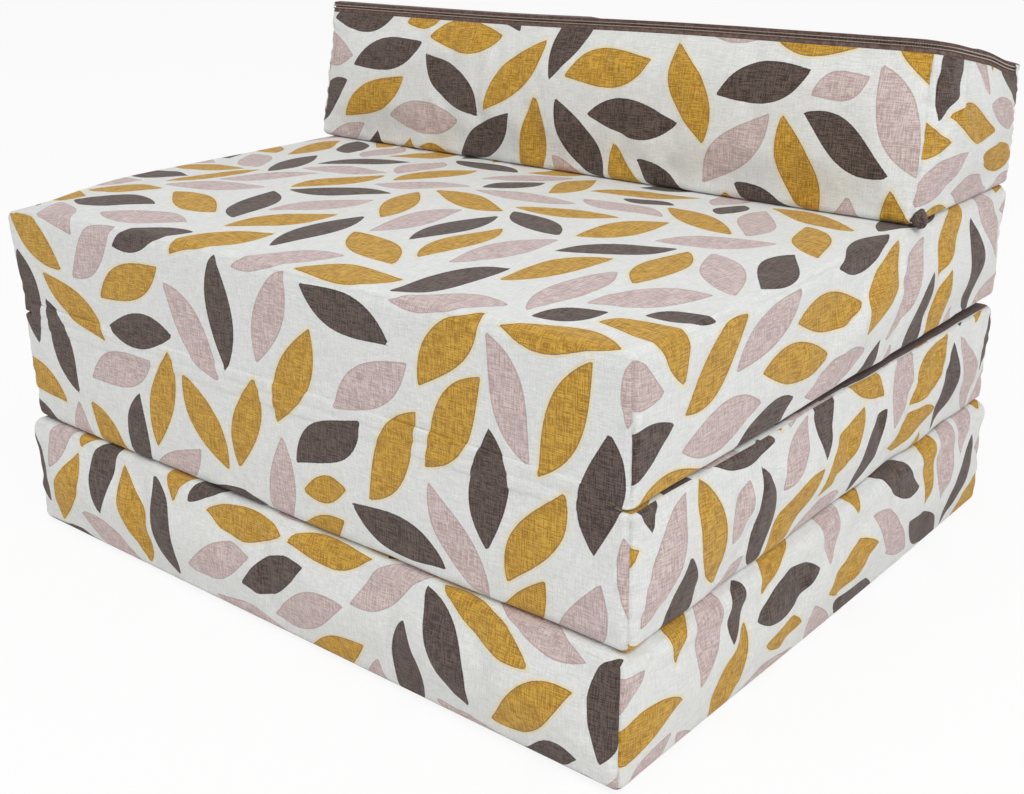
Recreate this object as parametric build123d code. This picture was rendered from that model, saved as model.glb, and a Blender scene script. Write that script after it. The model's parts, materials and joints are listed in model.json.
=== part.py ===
from build123d import *
from dataclasses import dataclass
from math import atan2, cos, degrees, sin, sqrt
import os

# Fold-out guest bed, stored as an ottoman seat: three equal foam slabs in a stack and a wedge
# backrest on top, each in its own zipped cover, joined edge to edge by sewn fabric hinges.
# Millimetres, +Z up, +X across the seat, -Y towards the sitter. The origin is the middle of
# the underside of the lowest slab.

# Slabs and backrest
slab_width = 700.0
slab_depth = 605.0
slab_height = 107.0
base_front_spare = 8.0
middle_rear_drop = 9.0
seat_crown = 4.0
crown_margin = 9.0
crown_cap_share = 0.55
backrest_depth_low = 208.0
backrest_lean = 23.0
backrest_front_height = 149.0
backrest_rear_height = 113.0
layer_gap = 0.3

# Soft edges: how far each kind of edge rolls in, and how far the walls bow out
corner_radius = 9.0
free_roll = 11.0
zip_edge_roll = 4.0
hinge_roll = 2.5
backrest_roll = 8.0
side_bow = 6.0
end_bow = 3.0
backrest_front_bow = 5.0
# Where a skin's levels lie: through a rolled edge, down the band below it, up the wall, over the crown
outer_ring_shares = ((0.0, 0.12, 0.45, 1.0), (0.3,), (0.12, 0.3, 0.5, 0.7, 0.88), (0.0, 0.2, 0.5, 1.0))
inner_ring_shares = ((0.0, 1.0), (), (0.25, 0.5, 0.75), (0.0, 0.4, 1.0))
foam_ring_shares = ((0.0, 1.0), (), (), (0.0, 1.0))

# Cloth and foam
cloth = 1.5
panel_inset = 9.0
foam_wall_gap = 0.8
foam_face_gap = 0.3

# Hinge strips and their rolled seam
strip_thickness = 1.0
strip_tail = 8.0
strip_end_margin = 18.0
bead_radius = 1.3
bead_clearance = 0.3
hinge_spare = 0.3

# Zips: a band just below the panel's turned rim
tape_width = 4.0
tape_thickness = 0.9
coil_row = 1.3
coil_slot = 1.4
coil_out = 0.9
coil_in = 0.8
zip_end_margin = 30.0
backrest_zip_margin = 18.0
stop_length = 2.5
stop_clearance = 0.5
stop_side_gap = 0.15

# Sliders and pulls, in the slider's own frame: along the track, across it and out of the wall
slider_length = 11.0
slider_nose = 5.0
slider_width = 8.5
inner_width = 7.0
plate_thickness = 0.9
plate_clearance = 0.3
flange_width = 0.8
neck_length = 2.5
neck_width = 1.0
neck_setback = 1.0
bail_width = 1.6
bail_bar = 0.9
bail_opening = 3.0
bail_height = 1.4
pull_bar_radius = 0.45
pull_arm = 1.0
pull_width = 6.0
pull_reach = 4.6
pull_length = 22.0
pull_thickness = 0.9
pull_tip_width = 7.0
pull_slot_width = 2.4
pull_slot_length = 8.0
pull_slot_setback = 3.5
pull_edge_round = 1.2

cut_overrun = 5.0

half_width = slab_width / 2
rear_face = slab_depth / 2
front_face = -rear_face
backrest_depth_high = backrest_depth_low - backrest_lean
zip_depth = zip_edge_roll + 2 * tape_width + 2 * coil_row + coil_slot
coil_depth = zip_depth / 2 + zip_edge_roll / 2
hinge_reach = end_bow + hinge_spare


@dataclass
class Block:
    """One foam section: where its faces are, how its edges roll and which face is the zipped underside."""

    name: str
    low: float
    high_front: float
    high_rear: float
    front_low: float
    front_high: float
    low_rolls: tuple
    high_rolls: tuple
    zip_on_top: bool
    front_bow: float
    crown: float


def make_blocks():
    """The four sections from the floor up. Rolls are given as front, rear and side."""
    middle_low = slab_height + layer_gap
    seat_low = 2 * slab_height + layer_gap
    back_low = 3 * slab_height + layer_gap
    back_front = rear_face - backrest_depth_low
    back_front_high = rear_face - backrest_depth_high
    slab_zip_edge = (free_roll, zip_edge_roll, free_roll)
    hinge_and_zip = (hinge_roll, zip_edge_roll, free_roll)
    rear_hinge = (free_roll, hinge_roll, free_roll)
    base_front = front_face - base_front_spare
    base = Block("base", 0, slab_height, slab_height, base_front, base_front,
                 slab_zip_edge, rear_hinge, False, end_bow, 0)
    middle = Block("middle", middle_low, 2 * slab_height, 2 * slab_height - middle_rear_drop,
                   front_face, front_face, rear_hinge, hinge_and_zip, True, end_bow, 0)
    seat = Block("seat", seat_low, 3 * slab_height, 3 * slab_height, front_face, front_face,
                 hinge_and_zip, rear_hinge, False, end_bow, seat_crown)
    backrest = Block("backrest", back_low, back_low + backrest_front_height,
                     back_low + backrest_rear_height, back_front, back_front_high,
                     (backrest_roll, hinge_roll, backrest_roll),
                     (zip_edge_roll, zip_edge_roll, zip_edge_roll), True, backrest_front_bow, 0)
    return base, middle, seat, backrest


def drawn_in(roll, depth):
    """How far a rolled edge is drawn in at a depth below its face."""
    if depth >= roll:
        return 0
    rest = 1 - depth / roll
    return roll * (1 - sqrt(1 - rest * rest))


def bowed(start, end, middle, bow):
    """A wall's line in plan, straight or bowed out to its middle point."""
    if bow == 0:
        return Line(start, end)
    return ThreePointArc(start, middle, end)


def outline(half, front, rear, z_rear, slope, radius, front_bow=0, rear_bow=0, sides_bow=0):
    """Closed outline with round corners and bowed walls, on a plane that may slope up to the front."""
    mid = (front + rear) / 2
    cut = radius * (1 - sqrt(1 / 2))

    def at(x, y):
        return Vector(x, y, z_rear + slope * (rear_face - y))

    edges = [
        bowed(at(-half + radius, front), at(half - radius, front), at(0, front - front_bow), front_bow),
        ThreePointArc(at(half - radius, front), at(half - cut, front + cut), at(half, front + radius)),
        bowed(at(half, front + radius), at(half, rear - radius), at(half + sides_bow, mid), sides_bow),
        ThreePointArc(at(half, rear - radius), at(half - cut, rear - cut), at(half - radius, rear)),
        bowed(at(half - radius, rear), at(-half + radius, rear), at(0, rear + rear_bow), rear_bow),
        ThreePointArc(at(-half + radius, rear), at(-half + cut, rear - cut), at(-half, rear - radius)),
        bowed(at(-half, rear - radius), at(-half, front + radius), at(-half - sides_bow, mid), sides_bow),
        ThreePointArc(at(-half, front + radius), at(-half + cut, front + cut), at(-half + radius, front)),
    ]
    return Face(Wire(edges))


def top_slope(block):
    """How steeply a section's upper face climbs from the rear to the front."""
    return (block.high_front - block.high_rear) / (rear_face - block.front_high)


def front_at(block, z_rear, slope):
    """Where a plane meets the front wall, which may lean back."""
    lean = (block.front_high - block.front_low) / (block.high_front - block.low)
    rise = z_rear + slope * rear_face - block.low
    return (block.front_low + lean * rise) / (1 + lean * slope)


def ring(block, z_rear, slope, draws, inset, bow_share=0):
    """One level of a section's skin, drawn in by its rolls or bowed out between them."""
    front_draw, rear_draw, side_draw = draws
    return outline(
        half_width - inset - side_draw,
        front_at(block, z_rear, slope) + inset + front_draw,
        rear_face - inset - rear_draw,
        z_rear,
        slope,
        corner_radius - inset,
        block.front_bow * bow_share,
        end_bow * bow_share,
        side_bow * bow_share,
    )


def roll_draws(rolls, inset, depth):
    return tuple(drawn_in(max(roll - inset, 0), depth - inset) for roll in rolls)


def body(block, ring_shares, inset=0, face_inset=0):
    """A section's closed soft form: rolled edges, bowed walls and, on the seat, a crown."""
    roll_shares, band_shares, wall_shares, crown_shares = ring_shares
    depths = [face_inset + (zip_edge_roll - face_inset) * share for share in roll_shares]
    depths += [zip_edge_roll + (zip_depth - zip_edge_roll) * share for share in band_shares]
    depths.append(zip_depth)

    def low_ring(depth):
        return ring(block, block.low + depth, 0, roll_draws(block.low_rolls, face_inset, depth), inset)

    def high_ring(depth):
        draws = roll_draws(block.high_rolls, face_inset, depth)
        return ring(block, block.high_rear - depth, top_slope(block), draws, inset)

    def wall_ring(share):
        low = block.low + zip_depth
        z_rear = low + (block.high_rear - zip_depth - low) * share
        return ring(block, z_rear, top_slope(block) * share, (0, 0, 0), inset, (4 * share * (1 - share)) ** 2)

    rings = [low_ring(depth) for depth in depths]
    rings += [wall_ring(share) for share in wall_shares]
    rings += [high_ring(depth) for depth in reversed(depths)]
    whole = loft(rings, ruled=True)
    if block.crown:
        whole += crown_of(block, crown_shares, inset, face_inset)
    return whole


def crown_of(block, ring_shares, inset, face_inset):
    """The seat's domed top in flat facets, from just inside its front and side rolls to the backrest."""
    side = half_width - free_roll - crown_margin - inset
    front = front_face + free_roll + crown_margin + inset
    rear = rear_face - backrest_depth_low - crown_margin - inset
    flat = (rear - front) / 2 * crown_cap_share

    def corners(share):
        x = side - flat * share
        y0 = front + flat * share
        y1 = rear - flat * share
        z = block.high_front - face_inset + block.crown * (1 - (1 - share) ** 2)
        return [(-x, y0, z), (x, y0, z), (x, y1, z), (-x, y1, z)]

    levels = [corners(share) for share in ring_shares]
    facets = [levels[0], levels[-1]]
    for lower, upper in zip(levels, levels[1:]):
        facets += [[lower[i - 1], lower[i], upper[i], upper[i - 1]] for i in range(len(lower))]
    faces = [Face(Wire(Polyline(*facet, close=True).edges())) for facet in facets]
    return Solid(Shell(faces))


def layer(block, near, far, outset):
    """The slice of a section between two depths below its zipped face, grown or shrunk in plan."""
    slope = top_slope(block) if block.zip_on_top else 0
    rings = []
    for depth in (near, far):
        z_rear = block.high_rear - depth if block.zip_on_top else block.low + depth
        rings.append(ring(block, z_rear, slope, (0, 0, 0), -outset))
    return loft(rings, ruled=True)


def span(x0, x1, y0, y1, z0, z1):
    """A box between given limits."""
    middle = Location(((x0 + x1) / 2, (y0 + y1) / 2, (z0 + z1) / 2))
    return middle * Box(x1 - x0, y1 - y0, z1 - z0)


def zipped_region(block, short=0):
    """The walls that a section's zip runs along: the rear, or the front and both sides."""
    z0 = block.low - cut_overrun
    z1 = block.high_front + cut_overrun
    side = half_width + side_bow + cut_overrun
    if block.name == "backrest":
        return span(-side, side, block.front_low - backrest_front_bow - cut_overrun,
                    rear_face - backrest_zip_margin - short, z0, z1)
    reach = half_width - zip_end_margin - short
    return span(-reach, reach, rear_face - free_roll, rear_face + cut_overrun, z0, z1)


def panel_region(block):
    """Where the underside panel lies: on the backrest to all edges, on a slab short of the front and sides."""
    short = -cut_overrun if block.name == "backrest" else panel_inset
    rim = layer(block, -cut_overrun, zip_edge_roll, cut_overrun)
    reach = half_width - short
    return rim & span(-reach, reach, block.front_low + short, rear_face + cut_overrun,
                      block.low - cut_overrun, block.high_front + cut_overrun)


def wall_strip(block, near, far, out, deep, short=0):
    """A strip of the zipped walls between two depths below the zipped face."""
    inside = layer(block, near - cut_overrun, far + cut_overrun, -deep)
    return (layer(block, near, far, out) - inside) & zipped_region(block, short)


def hinge_line(block, at_front, at_top):
    """Where a hinge turns: y and z of its axis, beyond the edge and midway between two faces."""
    y = front_face - hinge_reach if at_front else rear_face + hinge_reach
    z = block.high_front + layer_gap / 2 if at_top else block.low - layer_gap / 2
    return y, z


def hinge_strip(block, at_front, at_top, outward=0):
    """A strip sewn along one edge. The lower section's strip carries the rolled seam."""
    y, z = hinge_line(block, at_front, at_top)
    towards = -1 if at_front else 1
    tail = towards * (rear_face - strip_tail)
    end = y if at_top else y - towards * (bead_radius + bead_clearance)
    reach = half_width - strip_end_margin
    face = z - layer_gap / 2 if at_top else z + layer_gap / 2
    inner = face - strip_thickness if at_top else face + strip_thickness
    outer = face + outward if at_top else face - outward
    strip = span(-reach, reach, min(tail, end), max(tail, end), min(inner, outer), max(inner, outer))
    if at_top and not outward:
        bead = Cylinder(bead_radius, 2 * reach, rotation=(0, 90, 0))
        strip += Location((0, y, z)) * bead
    return strip


def track(block):
    """The slider's frame at its closed end: x along the track, z out of the wall."""
    first = stop_length + 2 * stop_clearance + slider_length / 2
    if block.name == "backrest":
        slope = top_slope(block)
        tilt = atan2(slope, 1)
        y = rear_face - backrest_zip_margin - first * cos(tilt)
        z = block.high_rear - coil_depth + slope * (rear_face - y)
        return Plane(origin=(-half_width, y, z), x_dir=(0, -cos(tilt), sin(tilt)), z_dir=(-1, 0, 0))
    side = 1 if block.name == "middle" else -1
    z = block.high_rear - coil_depth if block.zip_on_top else block.low + coil_depth
    x = side * (half_width - zip_end_margin - first)
    return Plane(origin=(x, rear_face, z), x_dir=(-side, 0, 0), z_dir=(0, 1, 0))


def slider():
    """Two plates joined by a neck that runs in the slot between the coil rows, and a bail."""
    outer_low = coil_out + plate_clearance
    outer_high = outer_low + plate_thickness
    inner_high = -coil_in - plate_clearance
    inner_low = inner_high - plate_thickness
    outer = span(-slider_length / 2, slider_length / 2, -slider_width / 2, slider_width / 2,
                 outer_low, outer_high)
    inner = span(-slider_length / 2, slider_length / 2, -inner_width / 2, inner_width / 2,
                 inner_low, inner_high)
    nose = outer.edges().filter_by(Axis.Z).group_by(Axis.X)[-1]
    outer = chamfer(nose, (slider_width - slider_nose) / 4)
    body_part = outer + inner
    for side in (-1, 1):
        edge = side * slider_width / 2
        lip = edge - side * flange_width
        straight = slider_length / 2 - (slider_width - slider_nose) / 4
        body_part += span(-slider_length / 2, straight, min(edge, lip), max(edge, lip),
                          plate_clearance, outer_low)
    neck_start = -slider_length / 2 + neck_setback
    body_part += span(neck_start, neck_start + neck_length, -neck_width / 2, neck_width / 2,
                      inner_low, outer_high)
    half_bail = bail_opening / 2 + bail_bar
    arch = span(-half_bail, half_bail, -bail_width / 2, bail_width / 2,
                outer_high, outer_high + bail_height + bail_bar)
    arch = fillet(arch.edges().filter_by(Axis.Y).group_by(Axis.Z)[-1], bail_bar)
    arch -= span(-bail_opening / 2, bail_opening / 2, -bail_width, bail_width,
                 outer_high, outer_high + bail_height)
    return body_part + arch


def pull_axis_height():
    return coil_out + plate_clearance + plate_thickness + bail_height / 2


def pull():
    """A flat tab with a slot, on two arms whose cross bar turns in the slider's bail."""
    z = pull_axis_height()
    low = z - pull_thickness / 2
    high = z + pull_thickness / 2
    bar = Location((0, 0, z)) * Cylinder(pull_bar_radius, pull_width, rotation=(90, 0, 0))
    tab_outline = Polyline(
        (pull_reach, -pull_width / 2),
        (pull_length, -pull_tip_width / 2),
        (pull_length, pull_tip_width / 2),
        (pull_reach, pull_width / 2),
        close=True,
    )
    tab = Location((0, 0, low)) * extrude(Face(Wire(tab_outline.edges())), amount=pull_thickness)
    tab = fillet(tab.edges().filter_by(Axis.Z).group_by(Axis.X)[-1], pull_edge_round)
    slot_middle = pull_length - pull_slot_setback - pull_slot_length / 2
    slot = SlotOverall(pull_slot_length, pull_slot_width)
    tab -= Location((slot_middle, 0, low)) * extrude(slot, amount=pull_thickness)
    whole = tab + bar
    for side in (-1, 1):
        edge = side * pull_width / 2
        inside = edge - side * pull_arm
        whole += span(0, pull_reach, min(edge, inside), max(edge, inside), low, high)
    return whole


def end_stop():
    """A moulded stop across both coil rows, in the slider's frame, centred on the track."""
    half = coil_slot / 2 + coil_row - stop_side_gap
    return span(-stop_length / 2, stop_length / 2, -half, half, -coil_in, coil_out)


def stop_planes(block):
    """The frames of the stop behind the closed slider and of the one at the zip's far end."""
    closed = track(block)
    back = (slider_length + stop_length) / 2 + stop_clearance
    near = Plane(closed.from_local_coords((-back, 0, 0)), closed.x_dir, closed.z_dir)
    origin = near.origin
    far = Plane((-origin.X, origin.Y, origin.Z), x_dir=(-near.x_dir.X, near.x_dir.Y, near.x_dir.Z),
                z_dir=(-near.z_dir.X, near.z_dir.Y, near.z_dir.Z))
    return near, far


def zip_pieces(block):
    """Both tapes, both coil rows, the two end stops, the slider and its pull."""
    panel_tape_end = zip_edge_roll + tape_width
    panel_coil_end = panel_tape_end + coil_row
    cover_coil_start = panel_coil_end + coil_slot
    cover_tape_start = cover_coil_start + coil_row
    coil_short = stop_length + 2 * stop_clearance
    near_stop, far_stop = stop_planes(block)
    return {
        "zip_panel_tape": wall_strip(block, zip_edge_roll, panel_tape_end, 0, tape_thickness),
        "zip_panel_coil": wall_strip(block, panel_tape_end, panel_coil_end, coil_out, coil_in, coil_short),
        "zip_cover_coil": wall_strip(block, cover_coil_start, cover_tape_start, coil_out, coil_in, coil_short),
        "zip_cover_tape": wall_strip(block, cover_tape_start, zip_depth, 0, tape_thickness),
        "zip_closed_end_stop": near_stop.location * end_stop(),
        "zip_open_end_stop": far_stop.location * end_stop(),
        "zip_slider": track(block).location * slider(),
        "zip_pull": track(block).location * pull(),
    }


def sewn_edges(block):
    """The hinge strips that are sewn to a section: name, whether at its front, whether on its top."""
    return {
        "base": [("rear_hinge_lower_strip", False, True)],
        "middle": [("rear_hinge_upper_strip", False, False), ("front_hinge_lower_strip", True, True)],
        "seat": [("front_hinge_upper_strip", True, False), ("backrest_hinge_lower_strip", False, True)],
        "backrest": [("backrest_hinge_upper_strip", False, False)],
    }[block.name]


def section_pieces(block):
    """Every piece of one section: foam, cover, underside panel, hinge strips and zip."""
    skin = body(block, outer_ring_shares) - body(block, inner_ring_shares, cloth, cloth)
    rim = panel_region(block)
    band = layer(block, zip_edge_roll, zip_depth, cut_overrun) & zipped_region(block)
    cover = skin - rim - band
    panel = skin & rim
    strips = {}
    for name, at_front, at_top in sewn_edges(block):
        strips[name] = hinge_strip(block, at_front, at_top)
        pocket = hinge_strip(block, at_front, at_top, cut_overrun)
        cover -= pocket
        panel -= pocket
    pieces = {
        "foam_core": body(block, foam_ring_shares, cloth + foam_wall_gap, cloth + foam_face_gap),
        "cover": cover,
        "underside_panel": panel,
        **zip_pieces(block),
    }
    named = {f"{block.name}_{key}": piece for key, piece in pieces.items()}
    return {**named, **strips}


def main():
    os.makedirs("parts", exist_ok=True)
    for block in make_blocks():
        for name, piece in section_pieces(block).items():
            export_step(piece, f"parts/{name}.step")
            print(name, round(piece.volume), len(piece.solids()))
        closed = track(block)
        pivot = closed.from_local_coords((0, 0, pull_axis_height()))
        print(block.name, "slider along", closed.x_dir, "pull pivot", pivot, "about", closed.y_dir)
    slope = atan2(backrest_front_height - backrest_rear_height, backrest_depth_high)
    print("backrest opens to", 180 - degrees(slope))
    print("hinge reach", rear_face + hinge_reach)


main()
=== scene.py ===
import json
import math
from dataclasses import dataclass

import bpy
import numpy as np
from mathutils import Matrix, Vector


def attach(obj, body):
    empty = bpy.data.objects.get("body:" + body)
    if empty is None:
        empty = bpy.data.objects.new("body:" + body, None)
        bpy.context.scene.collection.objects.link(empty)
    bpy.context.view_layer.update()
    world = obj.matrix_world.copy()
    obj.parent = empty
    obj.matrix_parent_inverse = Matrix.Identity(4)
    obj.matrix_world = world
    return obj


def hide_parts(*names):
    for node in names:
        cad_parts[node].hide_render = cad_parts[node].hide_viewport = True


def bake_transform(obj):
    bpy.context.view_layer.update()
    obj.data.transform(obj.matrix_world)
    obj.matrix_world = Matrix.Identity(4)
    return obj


# The fold-out guest bed, folded up as a seat: printed cotton covers over foam, brown undersides,
# zips and cloth hinges. Lengths are in millimetres until a mesh is made, which is in metres.

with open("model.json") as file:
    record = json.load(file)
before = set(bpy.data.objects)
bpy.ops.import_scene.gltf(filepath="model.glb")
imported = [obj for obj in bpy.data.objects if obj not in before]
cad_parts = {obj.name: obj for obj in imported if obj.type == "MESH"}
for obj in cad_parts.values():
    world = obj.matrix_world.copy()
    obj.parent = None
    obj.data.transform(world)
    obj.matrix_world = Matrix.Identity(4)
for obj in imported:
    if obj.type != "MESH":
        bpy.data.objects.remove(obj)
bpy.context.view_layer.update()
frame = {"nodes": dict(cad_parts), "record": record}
MM = 0.001

# Sizes shared with the CAD source
WIDTH = 700.0
DEPTH = 605.0
HEIGHT = 107.0
LAYER_GAP = 0.3
MIDDLE_REAR_DROP = 9.0
BACKREST_DEPTH_LOW = 208.0
BACKREST_LEAN = 23.0
BACKREST_DEPTH_HIGH = BACKREST_DEPTH_LOW - BACKREST_LEAN
BACKREST_HEIGHT_FRONT = 149.0
BACKREST_HEIGHT_REAR = 113.0
HALF = WIDTH / 2
REAR = DEPTH / 2
FRONT = -REAR
BASE_SPARE = 8.0
CORNER = 9.0
FREE_ROLL = 11.0
HINGE_ROLL = 2.5
RIM = 4.0
BACKREST_ROLL = 8.0
TAPE = 4.0
COIL_ROW = 1.3
COIL_SLOT = 1.4
ZIP_DEPTH = RIM + 2 * TAPE + 2 * COIL_ROW + COIL_SLOT
ZIP_REACH = HALF - 30.0
BACKREST_ZIP_MARGIN = 18.0

# Grids over a section, and how far off a face a point still counts as on it
GRID = 3.0
COARSE_GRID = 12.0
FOAM_GRID = 8.0
EDGE_STEPS = 6
LEAST_STEP = 0.28
RIM_LINES = [0.7, 1.6, 2.6, RIM - 0.35, RIM]
BAND_STEP = 0.35
END_STEP = 0.4
TOUCH = 1e-6

# How a section settles into its real shape
SLOPE_ROUNDS = 4
KEPT_EDGE = 40.0
KEPT_BAND = 24.0
CRISP_ROLL = 5.0
BACKREST_CORNER = 36.0
ZIP_RISE = 3.5
ZIP_RISE_ACROSS = (-150, 150)
ZIP_RISE_BACK = (110, 180)
ZIP_RISE_FADE = 45
SEAT_SINK = 9.0
SINK_REACH = 85.0
SEAT_FLARE = 8.0
BASE_FLARE = 6.0
BACKREST_FLARE = 7.0
FLARE_ACROSS = (120, 340)
FLARE_BACK = 260.0
WANDER = {HEIGHT: 2.4, 2 * HEIGHT: 0.8}
WANDER_LENGTH = 95.0
WANDER_REACH = 16.0
WANDER_BAND = 20.0

# How the cloth swells. A ripple is its length, how far it is squeezed across, and its height.
WAVE_COUNT = 9
SIDE_BELLY = 7.0
END_BELLY = 4.5
SEAT_CROWN = 4.0
DRAWN_SHARE = 0.35
PUCKER = 0.7
PUCKER_LENGTH = 13.0
PUCKER_REACH = 26.0
SEAM_GROOVE = 1.5
WALL_SLACK = ((120.0, 1.6, 0.8), (45.0, 1.0, 0.3))
SEAT_SLACK = ((170.0, 1.0, 0.7), (60.0, 0.7, 0.25))
BACKREST_SLACK = ((110.0, 1.0, 0.5),)
BASE_PUFF = 3.4
PUFF_BELOW_TOP = 13
PUFF_REACH = 9.0
CORNER_DIP = 4.0
DIP_REACH = 55.0
# Drawn folds on the backrest's sides: place, turn, reach and height
DRAWN_FOLDS = ((62, -0.75, 9.0, 4.2), (120, -0.95, 8.0, 2.4), (30, 1.1, 5.0, 1.6))
GATHER = 6.5
GATHER_PLACE = (HALF, 9, 5)
GATHER_SIZE = (9, 10, 9)
GATHER_INK = 10

# The cloth as it is blown out, and how much of its movement is kept
CLOTH = {
    "quality": 6,
    "mass": 0.25,
    "tension_stiffness": 20,
    "compression_stiffness": 12,
    "shear_stiffness": 6,
    "bending_stiffness": 0.4,
    "shrink_min": -0.012,
    "use_pressure": True,
    "uniform_pressure_force": 4,
    "vertex_group_mass": "held",
}
CLOTH_FRAMES = 20
CLOTH_CAP = 8.0
CLOTH_DIP = 0.8
CLOTH_SLIDE = 0.2
CRISP_EDGE = 45.0
EDGE_SHARE = 0.25
TOP_BLEND = 14.0
FOLD_SHARE = 0.15

# How the pieces lie in and on each other
FOAM_INSET = 3.2
ZIP_RECESS = 2.0
UNDER_RIM = 0.7
PANEL_CLOTH = 0.8
BROWN_INSET = 9.0
BROWN_WIDENS = 6.5
BROWN_WIDENS_BACK = (130, 370)
BASE_BROWN_LIFTS = (250, 310)
TAPE_RECESS = 0.5
TAPE_CLOTH = 0.9
HINGE_CLOTH = 0.7
HINGE_REACH = HALF - 16
HINGE_TUCK = 12.0
HINGE_CREASE = 2.2
HINGE_STAND = 0.9

# Beads in rows: along, across and out
STITCH = (2.6, 0.5, 0.45)
STITCH_PITCH = 3.6
STITCH_OUT = 0.1
STITCH_EDGE = 1.0
HINGE_STITCH = 9.0
TOOTH = (1.0, COIL_ROW, 1.1)
TOOTH_PITCH = 1.25
TOOTH_OUT = 0.35

# The leaf print
LEAF_SIZES = ((49.0, 16.5), (45.0, 14.5), (40.0, 16.0), (33.0, 14.5), (27.0, 12.0))
LEAF_LENGTHS = (0.93, 1.04)
LEAF_WIDTHS = (0.93, 1.07)
LEAF_BENDS = (0.45, 1.4)
LEAF_GAP = 7.0
LEAF_BEND = 0.16
LEAF_TRIES = 40
LEAF_MISSES = 14
LEAF_LOOK = 3.0
LEAF_REACH = 12.0
LEAF_FAR = 60.0
LEAF_CROSSES = 1000
FAR_FROM_INK = 12.0
INK_NEAR = 95
INK_CLOSE = 55
INK_LIKING = (-0.5, 0.1, 0.3)
BASE_PRINT = 5000
BACKREST_PRINT = 8000
PRINT_SIDES = HALF + 150
PRINT_SPARE = 60
BACKREST_PRINT_SIDES = HALF + 180
BACKREST_PRINT_ENDS = (-200, 420)
# Each ink's dark, pale and edge tone, as it looks on a screen
INKS = {
    "mustard": ((163, 117, 32), (222, 176, 72), (150, 112, 48)),
    "brown": ((58, 45, 41), (112, 96, 88), (66, 53, 48)),
    "blush": ((182, 159, 157), (226, 209, 205), (184, 160, 156)),
}

# The studio: each lamp's place and size in metres, and its watts
LAMPS = {
    "key": ((2.3, -1.2, 2.9), (2.2, 1.8), 49),
    "fill": ((-1.8, -2.8, 2.0), (2.2, 1.8), 2),
    "top": ((-0.2, -1.2, 2.9), (2.0, 1.6), 10),
}
LAMP_AIM = Vector((0, 0, 0.2))
SURROUND_LIGHT = 0.62
FLOOR_GLOW = 0.88
FLOOR_FAR = 12.0
FLOOR_DROP = 0.0005
WHITE = (1, 1, 1)

# The photograph's viewpoint, from the fit to its corners, in degrees, metres and pixels
CAMERA_ANGLES = (39.79, 21.27, -0.655)
CAMERA_PLACE = (0.7873, -0.9458, 0.5972)
FOCAL_LENGTH = 1352.45
IMAGE_WIDTH = 1024
SENSOR = 36.0


@dataclass
class Section:
    """One foam section of the bed, as a plain box that settle() slopes into its real shape."""

    name: str
    low: float
    high_front: float
    high_rear: float
    front_low: float
    front_high: float
    low_rolls: tuple
    high_rolls: tuple
    brown_on_top: bool
    print_start: float
    print_turn: float
    cloth: tuple = ()

    @property
    def depth(self):
        return REAR - self.front_low

    @property
    def height(self):
        return self.high_front - self.low

    @property
    def body(self):
        return f"{self.name}_section"


def make_sections():
    """The four sections, bottom to top. Rolls are given as front, rear and side."""
    middle_low = HEIGHT + LAYER_GAP
    seat_low = 2 * HEIGHT + LAYER_GAP
    back_low = 3 * HEIGHT + LAYER_GAP
    free = (FREE_ROLL, HINGE_ROLL, FREE_ROLL)
    joined = (HINGE_ROLL, RIM, CRISP_ROLL)
    base_front = FRONT - BASE_SPARE
    return (
        Section("base", 0, HEIGHT, HEIGHT, base_front, base_front,
                (FREE_ROLL, RIM, FREE_ROLL), free, False, BASE_PRINT, 1),
        Section("middle", middle_low, 2 * HEIGHT, 2 * HEIGHT - MIDDLE_REAR_DROP, FRONT, FRONT,
                free, joined, True, -2 * HEIGHT, -1),
        Section("seat", seat_low, 3 * HEIGHT, 3 * HEIGHT, FRONT, FRONT,
                joined, free, False, 0, 1),
        Section("backrest", back_low, back_low + BACKREST_HEIGHT_FRONT, back_low + BACKREST_HEIGHT_REAR,
                REAR - BACKREST_DEPTH_LOW, REAR - BACKREST_DEPTH_HIGH,
                (BACKREST_ROLL, HINGE_ROLL, BACKREST_ROLL), (RIM, RIM, RIM), True, BACKREST_PRINT, 1),
    )


# ---- Curves and waves


def smooth(t):
    t = np.clip(t, 0, 1)
    return t * t * (3 - 2 * t)


def ramp(value, start, end):
    """Rises smoothly from 0 where a value is at its start to 1 where it is at its end."""
    return smooth((value - start) / (end - start))


def crowned(t, power):
    """1 in the middle of a length and 0 at both ends, the flatter between them the higher the power."""
    return 1 - np.abs(2 * np.clip(t, 0, 1) - 1) ** power


def waves(u, v, length, seed):
    """Soft irregular ripples between about -1 and 1: a few sine waves of mixed directions."""
    rng = np.random.default_rng(seed)
    total = np.zeros_like(u)
    for _ in range(WAVE_COUNT):
        angle = rng.uniform(0, math.pi)
        k = 2 * math.pi / (length * rng.uniform(0.7, 1.5))
        total += np.sin(k * (u * math.cos(angle) + v * math.sin(angle)) + rng.uniform(0, 2 * math.pi))
    return total / math.sqrt(WAVE_COUNT)


def slack(u, v, ripples, seed):
    """Soft hollows and rises in loose cloth."""
    return sum(waves(u, v * squeeze, length, seed + i) * height
               for i, (length, squeeze, height) in enumerate(ripples))


# ---- Shape of a section


def stretch(t, full, actual, kept):
    """Fits a length into another: both ends keep their size, the middle takes up the difference."""
    middle = kept + (t - kept) * (actual - 2 * kept) / (full - 2 * kept)
    return np.where(t < kept, t, np.where(t > full - kept, actual - (full - t), middle))


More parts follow.
